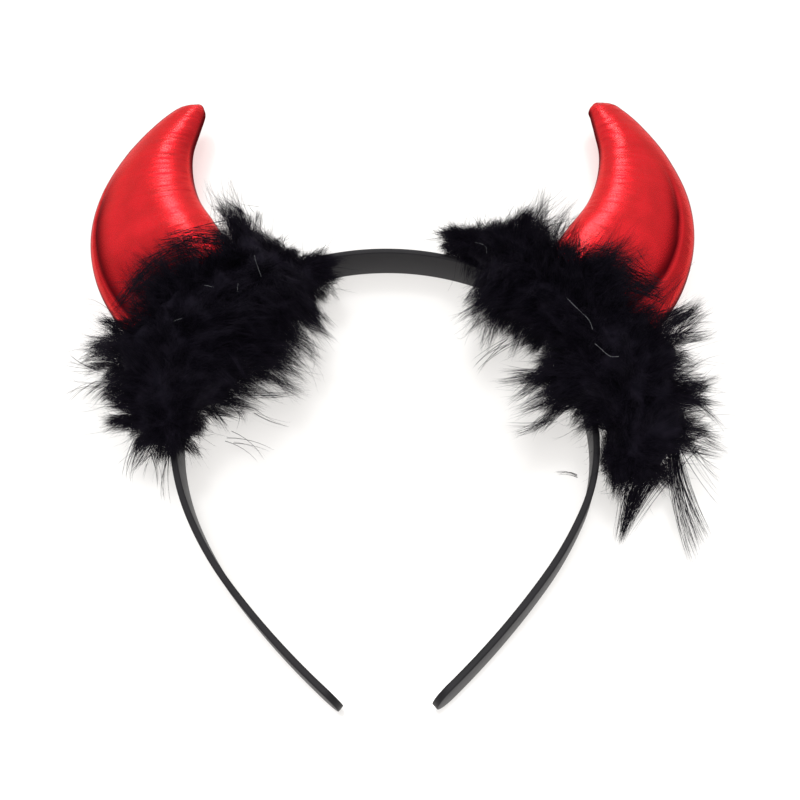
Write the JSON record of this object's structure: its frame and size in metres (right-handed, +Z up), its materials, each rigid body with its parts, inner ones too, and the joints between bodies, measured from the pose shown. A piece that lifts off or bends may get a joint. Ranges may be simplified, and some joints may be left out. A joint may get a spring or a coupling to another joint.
{
  "type": "devil horns headband",
  "caption": "Flat plastic headband with stuffed metallic fabric devil horns and black marabou down round their feet, lying on its side.",
  "frame": {"origin": "middle of the band's lower edge at the top of the arch, on the surface that the headband lies on", "axes": "+Z up from that surface, across the band's width; -Y towards the open end of the arch; +X to the right"},
  "size_m": [0.205, 0.2202, 0.0447],
  "materials": {
    "band_plastic": "black injection-moulded plastic with a satin face",
    "horn_fabric": "red metallic foil knit over soft padding, seamed round the edge",
    "marabou_down": "black marabou down, soft and matt"
  },
  "bodies": {
    "root": {"headband": "band_plastic", "left_horn_front": "horn_fabric", "left_horn_back": "horn_fabric", "left_marabou_trim": "marabou_down", "right_horn_front": "horn_fabric", "right_horn_back": "horn_fabric", "right_marabou_trim": "marabou_down"}
  },
  "joints": []
}
